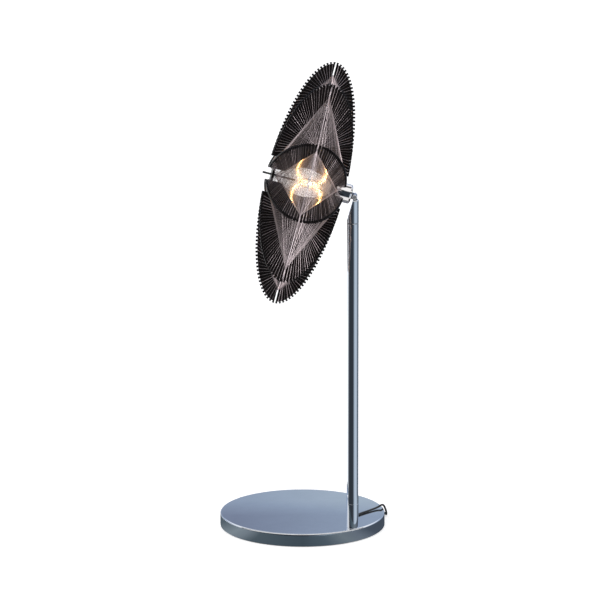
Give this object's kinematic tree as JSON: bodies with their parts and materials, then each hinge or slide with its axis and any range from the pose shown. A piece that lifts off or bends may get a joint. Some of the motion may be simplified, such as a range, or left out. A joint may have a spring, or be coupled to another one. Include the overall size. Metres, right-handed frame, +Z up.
{
  "type": "bedside lamp",
  "caption": "Bedside lamp with a round chrome base, an offset thin pole and a swivelling, tilting discus shade of toothed black fins strung with fine thread around a capsule bulb.",
  "frame": {"origin": "centre of the base's underside, on the table", "axes": "+Z up along the pole, +X to the right in the picture (from the shade towards the pole), -Y towards the picture's viewer"},
  "size_m": [0.2039, 0.3491, 0.587],
  "materials": {
    "chrome": "polished",
    "steel": "satin",
    "weight": "rough",
    "pad": "matt",
    "lead_rubber": "matt",
    "lead_black": "satin",
    "acrylic": "polished",
    "thread": "fine strung thread",
    "nylon": "satin",
    "ceramic": "fired ceramic",
    "ring": "satin",
    "contacts": "bright",
    "glass": "clear",
    "filament": "lit coil"
  },
  "bodies": {
    "stand": {"base_pad": "pad", "base_weight": "weight", "base_cover": "chrome", "pole_stud": "steel", "pole_nut": "steel", "pole_washer": "steel", "foot_collar": "chrome", "pole_tube": "chrome", "swivel_bush": "nylon", "lead_grommet": "lead_rubber", "lead_inner": "lead_black", "cord_lead": "lead_black", "cord_hank": "lead_black", "cord_tie": "lead_black", "cord_tail": "lead_black", "connector_body": "lead_black", "connector_barrel": "steel"},
    "swivel": {"swivel_cap": "chrome", "swivel_clip": "steel"},
    "head": {"holder_cup": "chrome", "tilt_screw": "steel", "tilt_nut": "steel", "tilt_washers": "nylon", "lampholder": "ceramic", "holder_contacts": "contacts", "shade_ring": "ring", "hub_right": "acrylic", "hub_left": "acrylic", "hub_pin": "chrome", "fin_01": "acrylic", "fin_02": "acrylic", "fin_03": "acrylic", "fin_04": "acrylic", "fin_05": "acrylic", "fin_06": "acrylic", "fin_07": "acrylic", "fin_08": "acrylic", "fin_09": "acrylic", "fin_10": "acrylic", "threads_a": "thread", "threads_b": "thread", "bulb_glass": "glass", "bulb_pins": "steel", "bulb_filament": "filament"}
  },
  "joints": [
    {"name": "head_swivel", "type": "hinge", "parent": "stand", "child": "swivel", "pos_m": [0.0605, -0.068, 0.3966], "axis": [0, 0, 1], "range_deg": [-160, 160]},
    {"name": "head_tilt", "type": "hinge", "parent": "swivel", "child": "head", "pos_m": [0.0627, -0.06807, 0.4296], "axis": [0.0332, 0.9995, 0], "range_deg": [-15, 75]}
  ]
}
